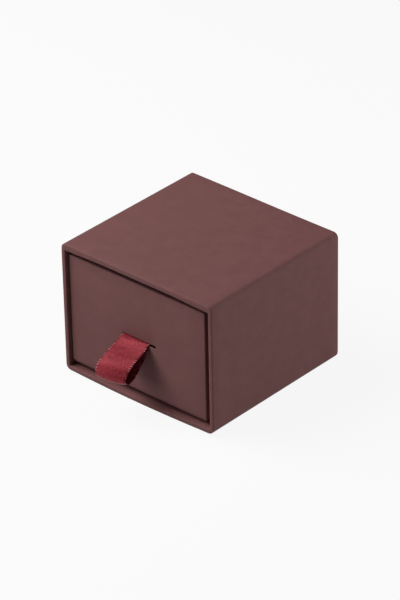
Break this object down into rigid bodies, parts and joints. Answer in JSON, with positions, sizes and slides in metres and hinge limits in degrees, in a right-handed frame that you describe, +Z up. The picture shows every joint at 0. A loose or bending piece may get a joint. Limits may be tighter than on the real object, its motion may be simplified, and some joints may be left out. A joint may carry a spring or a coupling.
{
  "type": "ring box",
  "caption": "Small rigid paper ring box: a papered greyboard sleeve open at the front, holding a pull-out tray with a ribbon loop on its front and a velvet ring pad inside.",
  "frame": {"origin": "centre of the sleeve's underside, on the surface that the box stands on", "axes": "+Z up; +X to the right of someone facing the drawer; the drawer pulls out towards -Y"},
  "size_m": [0.057, 0.0636, 0.0417],
  "materials": {
    "cover_paper": "matt maroon-brown cover paper",
    "lining_paper": "matt paper in the cover's colour",
    "greyboard": "raw pulp board",
    "paper_tape": "gummed kraft tape",
    "white_card": "uncoated card",
    "ribbon": "crimson satin weave",
    "velvet": "dark brown short-pile velvet",
    "foam": "open-cell foam"
  },
  "bodies": {
    "sleeve": {"sleeve_top_board": "greyboard", "sleeve_bottom_board": "greyboard", "sleeve_left_board": "greyboard", "sleeve_right_board": "greyboard", "sleeve_back_board": "greyboard", "sleeve_stay_top_left": "paper_tape", "sleeve_stay_top_right": "paper_tape", "sleeve_stay_bottom_left": "paper_tape", "sleeve_stay_bottom_right": "paper_tape", "sleeve_wrap": "cover_paper", "sleeve_base_sheet": "cover_paper", "sleeve_lining": "lining_paper", "sleeve_back_lining": "lining_paper"},
    "drawer": {"drawer_floor_board": "greyboard", "drawer_front_board": "greyboard", "drawer_back_board": "greyboard", "drawer_left_board": "greyboard", "drawer_right_board": "greyboard", "drawer_stay_front_left": "paper_tape", "drawer_stay_front_right": "paper_tape", "drawer_stay_back_left": "paper_tape", "drawer_stay_back_right": "paper_tape", "drawer_wrap": "cover_paper", "drawer_lining": "lining_paper", "drawer_floor_sheet": "lining_paper", "ribbon_tail": "ribbon", "ribbon_tail_tape": "paper_tape", "base_foam": "foam", "pad_card": "white_card", "front_foam_roll": "foam", "rear_foam_roll": "foam", "velvet_cover": "velvet"},
    "ribbon_pull": {"ribbon_loop": "ribbon"}
  },
  "joints": [
    {"name": "drawer_slide", "type": "slide", "parent": "sleeve", "child": "drawer", "axis": [0, -1, 0], "range_m": [0, 0.054]},
    {"name": "ribbon_swing", "type": "hinge", "parent": "drawer", "child": "ribbon_pull", "pos_m": [-0.00155, -0.0264, 0.01964], "axis": [-1, 0, 0], "range_deg": [-28, 105], "stiffness_Nm_per_rad": 0.00024}
  ]
}
